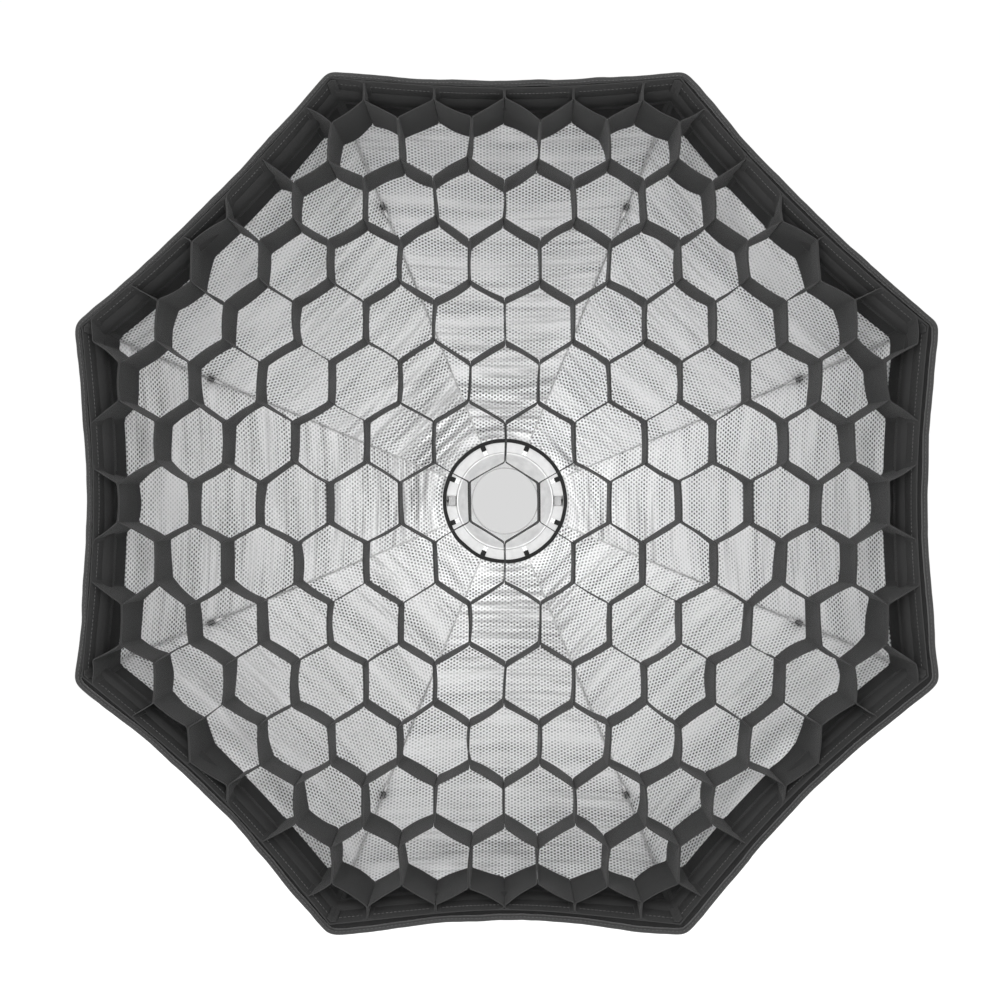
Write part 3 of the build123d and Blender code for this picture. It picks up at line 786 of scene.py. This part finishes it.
def hem_stitches(centres, normals, depth):
    """Two rows of stitches on the hem, one on its front edge and one on its outer face."""
    stitches = Surface()
    count = len(centres)
    travelled, spacing = 0.0, 0.0052
    for i in range(count):
        step = centres[(i + 1) % count] - centres[i]
        along = step.normalized()
        travelled += step.length
        while travelled > spacing:
            travelled -= spacing
            at = centres[(i + 1) % count] - along * travelled
            front = at - normals[i] * 0.0016 + Vector((0, -depth / 2 - 0.0001, 0))
            stitches.bead(front, along, -BACKWARD, STITCH, 0.0008, 0.0008)
            side = at + normals[i] * (HEM_WIDTH / 2 + 0.0001) + Vector((0, 0.0030, 0))
            stitches.bead(side, along, normals[i], STITCH, 0.0008, 0.0008)
    attach(stitches.build("hem_stitches", THREAD), "softbox")


def octagonal_band(name, node, body, material, corner_at, out, thickness, ripple):
    """Tape round the mouth, out from the cloth whose corner radius at a depth is corner_at."""
    deep = 9
    angles = [*band_angles(40), HALF + CIRCLE]
    y0, y1 = TAPE_FRONT_Y, TAPE_REAR_Y
    corner0, corner1 = corner_at(y0) + out, corner_at(y1) + out
    bow0, bow1 = bow(corner_at(y0)), bow(corner_at(y1))
    lengths = running_length([polar(outline(a, corner0, bow0), 0, a) for a in angles])

    def place(i, j, extra):
        share = j / (deep - 1)
        angle = angles[i % (len(angles) - 1)]
        radius = outline(angle, corner0, bow0) * (1 - share)
        radius += outline(angle, corner1, bow1) * share
        radius += ripple * rim_wobble(angle, 11, share * 2.0 + y0 * 9) * share
        return polar(radius + extra, y0 + (y1 - y0) * share, angle)

    piece = closed_band(name, material, lengths, deep, abs(y1 - y0), place, thickness)
    attach(piece, body, node)


def clean_up(piece):
    """Joins points that lie on each other and turns all faces outward."""
    work = bmesh.new()
    work.from_mesh(piece.data)
    bmesh.ops.remove_doubles(work, verts=work.verts, dist=0.00002)
    bmesh.ops.recalc_face_normals(work, faces=work.faces)
    work.to_mesh(piece.data)
    work.free()
    piece.data.set_sharp_from_angle(angle=math.radians(40))


def lip_corner(y):
    front = rod_radius_at(HEM_REAR_Y) - LIP_INSET
    rear = rod_radius_at(LIP_REAR_Y) - LIP_INSET
    return front + (rear - front) * (y - HEM_REAR_Y) / (LIP_REAR_Y - HEM_REAR_Y)


def lip_band():
    """The cloth lip inside the mouth, from the hem back to the liner's edge."""
    rear_corner = lip_corner(LIP_REAR_Y)
    count = len(HEM_LINE)
    deep = 9
    front_y = HEM_REAR_Y - 0.002
    depth = abs(LIP_REAR_Y - front_y)

    def place(i, j, extra):
        share = j / (deep - 1)
        angle = HEM_TURNS[i % count]
        front = HEM_RADII[i % count] - 0.0012
        rear = outline(angle, rear_corner, bow(rear_corner))
        wave = rim_wobble(angle, 11, share * 2.0)
        radius = front + (rear - front) * min(1.0, share * 3.2) ** 0.7 * (0.9 + 0.1 * share)
        y = front_y + (LIP_REAR_Y - front_y) * share
        return polar(radius + 0.0006 * wave * share + extra, y, angle)

    piece = closed_band("lip_band", LIP_CLOTH, HEM_LENGTHS, deep, depth, place, LIP_THICKNESS)
    attach(piece, "softbox", "front_lip")


# ---- pieces: the grid's border and cells ----
def grid_y(share):
    return GRID_FRONT_Y + GRID_DEPTH * share


def border_corner(share):
    rear = lip_corner(GRID_REAR_Y) - BORDER_STACK / COS_HALF
    return BORDER_FRONT_CORNER + (rear - BORDER_FRONT_CORNER) * share


def border_corner_at(y):
    return border_corner((y - GRID_FRONT_Y) / GRID_DEPTH)


def border_radius(angle, share, inset=0.0):
    """Inner face of the border: share runs from 0 at the flared front to 1 at the rear."""
    corner = border_corner(share)
    flare = FLARE * max(0.0, 1 - share / 0.22) ** 2
    slack = side_sag(angle) * BORDER_SAG_SHARE * (1 - share) ** 2
    return outline(angle, corner, bow(corner)) + flare - slack - 0.0015 - inset


def lean(radius):
    """How far the rear end of a wall lies nearer the middle than its front end."""
    return LEAN * (radius / LEAN_AT) ** LEAN_POWER + BASE_LEAN * min(1.0, radius / BASE_LEAN_AT)


dice = random.Random(11)
JITTER = {}


def jitter(key, size):
    """The same small random number for the same key, drawn once."""
    if key not in JITTER:
        JITTER[key] = dice.uniform(-1, 1)
    return JITTER[key] * size


def lattice_point(column, row, end, share):
    """Corner of the honeycomb at the end (-1 or 1) of a vertical wall; share is the depth."""
    key = (column, row, end)
    point = Vector((column * STRIP_PITCH, 0, row * ROW_PITCH + end * CELL_SIDE / 2))
    radius = point.length
    far = 0.0016 * (radius / 0.5) ** 2
    uneven, swing = 0.0014 + far, 0.0012 + far
    point += Vector((jitter((key, "x"), uneven), 0, jitter((key, "z"), uneven)))
    inward = SQUEEZE * (radius / SQUEEZE_AT) ** 6 + lean(radius) * share
    point -= point.normalized() * inward
    point += Vector((jitter((key, "rx"), swing), 0, jitter((key, "rz"), swing))) * share
    return point + GRID_SHIFT


def inside(point, share):
    radius, angle = polar_parts(point)
    return radius < border_radius(angle, share, 0.0016)


def pulled_in(point, share):
    """The point itself, or the nearest place inside the border."""
    if inside(point, share):
        return point
    angle = polar_parts(point)[1]
    return polar(border_radius(angle, share, 0.0018), 0, angle)


def meet_border(start, end, share):
    """Point between start, which is inside, and end, which isn't, on the border's face."""
    low, high = 0.0, 1.0
    for _ in range(16):
        middle = (low + high) / 2
        if inside(start.lerp(end, middle), share):
            low = middle
        else:
            high = middle
    return start.lerp(end, low)


STRIP_ROWS = 8
STRIP_THICKNESS = 0.0011
BONDED_SHIFT = 0.0007
FLAP = 0.006
FLAP_INSET = 0.0007
WALL_SAMPLES = (0.12, 0.3, 0.5, 0.7, 0.88)


def turn_in(before, corner, after, reach):
    """Three points that round a corner."""
    ways = (before - corner, after - corner)
    start, end = (corner + way.normalized() * min(reach, way.length * 0.3) for way in ways)
    return [start, start * 0.2 + corner * 0.6 + end * 0.2, end]


def end_flap(index, near, far, share):
    """Where a strip meets the border, then two points of its end, turned along the border."""
    meet = meet_border(near[1], far[1], share)
    angle = polar_parts(meet)[1]
    heading = meet - near[1]
    if near[0][0] == far[0][0]:
        heading = Vector((1 if near[0][0] == index else -1, 0, 0))
    toward = 1 if heading.dot(tangent(angle)) > 0 else -1
    spots = [angle + toward * FLAP / meet.length * s for s in (0.35, 1.0)]
    return [meet] + [polar(border_radius(a, share, FLAP_INSET), 0, a) for a in spots]


def bulged_wall(key, start, end, radius, share):
    """Points along one wall, which bulges a little to one side, more at its rear."""
    side = Vector((-(end - start).z, 0, (end - start).x))
    if side.length > 1e-6:
        side.normalize()
    full = min((end - start).length / CELL_SIDE, 1.0)
    bulge = jitter((key, "bulge"), 0.0016) * (0.4 + radius / 0.5)
    bulge += jitter((key, "rear"), 0.0014) * share**2 * (0.3 + radius / 0.30)
    return [
        start.lerp(end, s) + side * (bulge * full * math.sin(math.pi * s)) for s in WALL_SAMPLES
    ]


def strip_path(index, run, share):
    """Points along one stretch of strip from border to border at a depth share."""
    corners = [strip_corner(index, k) for k in range(run[0] - 1, run[1] + 2)]
    raw = []
    for column, row, end in corners:
        shift = BONDED_SHIFT if column == index else -BONDED_SHIFT
        raw.append(lattice_point(column, row, end, share) + Vector((shift, 0, 0)))
    points = [pulled_in(p, share) for p in raw[1:-1]]
    first = end_flap(index, (corners[1], points[0]), (corners[0], raw[0]), share)
    last = end_flap(index, (corners[-2], points[-1]), (corners[-1], raw[-1]), share)
    path = [*first[::-1], *points, *last]
    found = path[:2]
    for k in range(2, len(path) - 2):
        reach = 0.0020 if k in (2, len(path) - 3) else 0.0026
        found += turn_in(path[k - 1], path[k], path[k + 1], reach)
        if k < len(path) - 3:
            end = path[k + 1] + (path[k] - path[k + 1]) * 0.06
            radius = (path[k] + path[k + 1]).length / 2
            found += bulged_wall(wall_key(index, run, k - 3), found[-1], end, radius, share)
    return found + path[-2:]


def strip_corner(index, k):
    """The k-th corner of a strip, counted upward from its lowest row."""
    row = k // 2 - ROWS_EACH_WAY
    column = index if (index + row) % 2 else index + 1
    return column, row, 1 if k % 2 else -1


def wall_key(index, run, step):
    """Name of the wall that follows a corner, shared by two strips where they are bonded."""
    first, second = strip_corner(index, run[0] + step), strip_corner(index, run[0] + step + 1)
    return (first, second) if first[0] == second[0] else (first, second, index)


def strip_runs(index):
    """First and last corner of each stretch of a strip that lies inside the border."""
    count = 2 * (2 * ROWS_EACH_WAY + 1)
    within = [k for k in range(count) if inside(lattice_point(*strip_corner(index, k), 0), 0)]
    starts = [k for k in within if k - 1 not in within]
    return list(zip(starts, [k for k in within if k + 1 not in within]))


def strip(surface, index):
    """One corrugated strip, from border to border; returns its cut length."""
    total = 0.0
    for run in strip_runs(index):
        levels = [strip_path(index, run, j / (STRIP_ROWS - 1)) for j in range(STRIP_ROWS)]
        lengths = running_length(levels[0])

        def place(i, j):
            point = levels[j][i]
            waver = 0.0005 * wobble(point.x * 40, point.z * 40, j * 0.8 + index)
            share = j / (STRIP_ROWS - 1)
            slump = wobble(point.x * 24, point.z * 24, index * 0.3)
            edge = abs(slump) * 0.0110 * (point.length / 0.5) ** 3 * share**3
            y = GRID_FRONT_Y + 0.0008 + (GRID_DEPTH - 0.0016) * share + waver - edge
            return Vector((point.x, y, point.z))

        def normal(i, j):
            line = levels[j]
            way = line[min(i + 1, len(line) - 1)] - line[max(i - 1, 0)]
            return Vector((-way.z, 0, way.x)).normalized()

        def uv(i, j):
            return total + lengths[i], GRID_DEPTH * j / (STRIP_ROWS - 1)

        surface.slab(len(levels[0]), STRIP_ROWS, place, normal, uv, STRIP_THICKNESS)
        total += lengths[-1]
    return total


def grid_cells():
    nodes = STRIPS // STRIPS_PER_NODE
    for k in range(nodes):
        surface = Surface()
        total = 0.0
        for s in range(STRIPS_PER_NODE):
            total += strip(surface, k * STRIPS_PER_NODE + s - STRIPS // 2)
        piece = surface.build(f"cell_strips_{k + 1}", GRID_CLOTH, math.radians(30))
        attach(piece, "grid", f"grid_strips_{k + 1}")


def border_band():
    """The grid's border, with soft folds between the places where the strips pull on it."""
    angles = [*band_angles(64), HALF + CIRCLE]
    deep = 13
    lengths = running_length([polar(border_radius(a, 0), 0, a) for a in angles])

    def place(i, j, extra):
        share = j / (deep - 1)
        angle = angles[i % (len(angles) - 1)]
        fold = rim_wobble(angle, 14, share * 1.6) * 0.0022 * math.sin(math.pi * share)
        fold += rim_wobble(angle, 32.2, share * 3.68) * 0.0010 * share
        radius = border_radius(angle, share) + abs(fold) * 0.4 + BORDER_THICKNESS / 2 + extra
        return polar(radius, grid_y(share), angle)

    cloth = ("border_band", BORDER_CLOTH)
    piece = closed_band(*cloth, lengths, deep, GRID_DEPTH, place, BORDER_THICKNESS)
    attach(piece, "grid", "grid_border")
    depth = math.hypot(GRID_DEPTH, (border_corner(0) - border_corner(1)) * COS_HALF)
    length = lengths[-1] * (border_corner(0) + border_corner(1)) / 2 / border_corner(0)


def border_stitches():
    """A row of top stitches round the border's inner face, behind its front edge."""
    surface = Surface()
    spacing = 0.0050
    share = 0.11
    angle = 0.0
    while angle < CIRCLE:
        radius = border_radius(angle, share)
        at = polar(radius - 0.0001, grid_y(share), angle)
        ahead = polar(border_radius(angle + 0.004, share) - 0.0001, at.y, angle + 0.004)
        along = (ahead - at).normalized()
        surface.bead(at, along, -polar(1, 0, angle), STITCH, 0.0009, 0.0010)
        angle += spacing / radius
    attach(surface.build("border_stitches", THREAD), "grid")


def border_seams():
    """Taped seams in the border's corners."""
    surface = Surface()
    for angle in CORNERS:
        across = tangent(angle)

        def place(i, j):
            share = 0.01 + 0.97 * j / 11
            side = (i - 2) / 2 * 0.006
            radius = border_radius(angle, share, 0.0030) - abs(side) * math.tan(HALF) + 0.0004
            return polar(radius, grid_y(share), angle) + across * side

        inward = -polar(1, 0, angle)
        surface.slab(5, 12, place, lambda i, j: inward, even_uv(0.003, 0.007), 0.0010)
    attach(surface.build("border_corner_tapes", BINDING_TAPE), "grid")


# ---- pieces: hub and small fittings ----
def round_binding(name, node, radius, y, width, height, lumps):
    """Round bound edge, a little lumpy where the gores' folds pass under it."""
    count = 160
    centres, normals = [], []
    for i in range(count):
        angle = CIRCLE * i / count
        lump = rim_wobble(angle, 4, y * 50)
        seam = math.cos(SIDES * (angle - HALF)) ** 9
        centres.append(polar(radius + lumps * (lump + 0.35 * seam), y + lumps * 0.4 * lump, angle))
        normals.append(polar(1, 0, angle))
    surface = Surface()
    profile = rounded_box(width, height, height * 0.42, 3)
    surface.tube(centres, normals, [BACKWARD] * count, profile, True)
    piece = surface.build(name, BINDING_TAPE, math.radians(60))
    attach(piece, "softbox", node)


def liner_tabs():
    """Eight short webbing tabs that hold the liner's binding to the speed ring."""
    front_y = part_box("liner_tabs")[0].y + 0.0004
    surface = Surface()
    for angle in CORNERS:
        tilt = dice.uniform(-0.06, 0.06)
        across = tangent(angle + tilt)
        inner, outer = 0.0806, 0.0895

        def place(i, j):
            share = i / 7
            radius = inner + (outer - inner) * share
            lift = 0.0008 * math.sin(math.pi * min(share * 1.2, 1.0))
            side = across * (j / 4 - 0.5) * 0.0075
            return polar(radius, front_y - lift * 0.4, angle) + side

        surface.slab(8, 5, place, lambda i, j: -BACKWARD, even_uv(0.0012, 0.0018), 0.0011)
    piece = surface.build("liner_tab_webbing", BINDING_TAPE)
    attach(piece, "softbox", "liner_tabs")


def baffle_loops():
    """Folded webbing straps on the liner's seams, each holding a clear hook."""
    surface = Surface()
    angle = math.acos((BAFFLE_RADIUS - CENTRE[0]) / ROD_ARC)
    for turn in CORNERS:
        across = tangent(turn)
        inward = -polar(math.cos(angle), math.sin(angle), turn)
        along = polar(math.sin(angle), -math.cos(angle), turn)
        base = polar(*rod_point(angle), turn)

        def place(i, j):
            share = i / 11
            loop = math.sin(math.pi * share)
            spread_out = math.cos(math.pi * share) * 0.0022
            height = 0.0050 + 0.0165 * min(1.0, 1.6 * loop)
            return base + inward * height + across * spread_out + along * (j / 4 - 0.5) * 0.011

        def facing(i, j):
            turned = math.pi * i / 11
            return across * math.cos(turned) + inward * math.sin(turned)

        surface.slab(12, 5, place, facing, even_uv(0.003, 0.0027), 0.0010)
    piece = surface.build("baffle_strap_webbing", BINDING_TAPE)
    attach(piece, "softbox", "baffle_straps")


def catch_coil(side, name):
    """Compression spring of one catch, wound from its inner end by the catch to its outer end."""
    low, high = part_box(f"catch_spring_{name}")
    inner, outer = (low.x, high.x) if side > 0 else (high.x, low.x)
    reach = (high.z - low.z) / 2 - COIL_WIRE
    middle_y = (low.y + high.y) / 2
    steps = COIL_TURNS * 18
    centres, normals = [], []
    for i in range(steps + 1):
        turn = CIRCLE * i / 18
        out = Vector((0, math.cos(turn), math.sin(turn)))
        along = inner + side * COIL_WIRE + (outer - inner - 2 * side * COIL_WIRE) * i / steps
        centres.append(Vector((along, middle_y, 0)) + out * reach)
        normals.append(out)
    spokes = [CIRCLE * k / 8 for k in range(8)]
    profile = [(COIL_WIRE * math.cos(t), COIL_WIRE * math.sin(t)) for t in spokes]
    surface = Surface()
    surface.tube(centres, normals, [Vector((1, 0, 0))] * len(centres), profile, False)
    piece = surface.build(f"catch_coil_{name}", SCREW)
    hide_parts(f"catch_spring_{name}")
    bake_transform(piece)


CAD_LOOKS = (
    (BRIGHT_ALLOY, "adapter_ring"),
    (ALLOY, "speed_ring", "catch_covers"),
    (STEEL, "mount_plate", "bayonet_lugs", "catch_left", "catch_right"),
    (SCREW, "plate_screws", "lug_screws"),
    (ENAMEL, "rod_sockets"),
    (CHROME, "rod_clips"),
    (LIP_CLOTH, "rod_sleeves"),
    (CAP, "rod_caps"),
    (HOOK_PLASTIC, "baffle_hooks"),
    (ROD_STEEL, *(f"rod_{k + 1}" for k in range(SIDES))),
)


def finish_cad_nodes():
    """Gives every CAD node that stays visible its own material."""
    for material, *names in CAD_LOOKS:
        for name in names:
            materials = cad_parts[name].data.materials
            materials.clear()
            materials.append(material)


# ---- stage, lights and camera ----
def stage():
    """Wide pale floor, well below the softbox."""
    s = Shader("floor_white", Emission_Color=(1, 1, 1, 1), Emission_Strength=FLOOR_GLOW)
    cloudy = s.noise(s.position(), 1.5, 2.0)
    s.finish(s.ramp(cloudy, 0.3, 0.7, 0.86, 0.90), s.spread(cloudy, 0.3, 0.7, 0.85, 0.95))

    def place(i, j):
        return Vector(((j - 2) * 4.0, (i - 2) * 4.0, FLOOR_Z))

    surface = Surface()
    surface.sheet(5, 5, place, lambda i, j: (j * 4.0, i * 4.0))
    surface.build("floor", s.material)


def area_light(name, place, target, size, power):
    data = bpy.data.lights.new(name, "AREA")
    data.shape = "SQUARE"
    data.size = size
    data.energy = power
    lamp = placed(name, data)
    lamp.location = place
    lamp.rotation_mode = "QUATERNION"
    lamp.rotation_quaternion = (Vector(target) - Vector(place)).to_track_quat("-Z", "Y")


def lights():
    """White surroundings with a painted shadow a little dimmer straight behind, one broad front
    light and a smaller light from above.
    """
    world = bpy.data.worlds.new("studio")
    world.use_nodes = True
    tree = world.node_tree
    background = tree.nodes["Background"]
    background.inputs["Strength"].default_value = WORLD
    direction = add_node(tree, "TexCoord").outputs["Generated"]
    behind = add_node(tree, "SeparateXYZ", {0: direction}).outputs[1]
    # the surroundings are painted darker in a small cone straight behind, as the softbox's shadow
    ends = [math.cos(math.radians(a)) for a in PAINTED_SHADOW_EDGES]
    shade = map_range(tree, behind, *ends, 1.0, PAINTED_SHADOW_TONE, interpolation_type="SMOOTHSTEP")
    tree.links.new(shade, background.inputs["Color"])
    scene.world = world
    area_light("front", (-0.3, -4.8, 0.3), (0, -0.3, 0), 4.8, 220)
    area_light("key_top", (-1.2, -3.2, 2.6), (0, -0.3, 0), 1.6, 40)
    scene.view_settings.view_transform = "Standard"


def camera():
    data = bpy.data.cameras.new("camera")
    data.lens = LENS
    data.sensor_width = 36.0
    data.shift_x = -0.005
    data.shift_y = 0.001
    data.clip_end = 60.0
    cam = placed("camera", data)
    cam.location = (0, FRONT_Y - CAMERA_DISTANCE, 0)
    cam.rotation_euler = (math.pi / 2, 0, 0)
    scene.camera = cam


# ---- the build ----
camera()
lights()
stage()
finish_cad_nodes()
for side in range(SIDES):
    liner_gore(side)
    shell_gore(side)
seams("liner_seams", -0.0050, LINER_HUB_EXTRA, LINER_SEAM, LIP_REAR_Y, SEAM_SILVER)
seams("shell_seams", 0.0070, SHELL_HUB_EXTRA, SHELL_SEAM, HEM_REAR_Y, HEM_TAPE)
hem_binding()
lip_band()
octagonal_band(
    "loop_pile", "loop_tape", "softbox", LOOP_PILE, lip_corner, -TAPE_OUT, 0.0009, 0.0002
)
octagonal_band("hook_pile", "hook_tape", "grid", HOOK_PILE, border_corner_at, TAPE_OUT, 0.0008, 0.0)
border_band()
border_seams()
border_stitches()
grid_cells()
round_binding("liner_ring_binding", "liner_binding", 0.0905, -0.0357, 0.0056, 0.0032, 0.0008)
round_binding("rear_ring_binding", "rear_binding", 0.0974, -0.0121, 0.0050, 0.0034, 0.0006)
liner_tabs()
baffle_loops()
catch_coil(1, "right")
catch_coil(-1, "left")
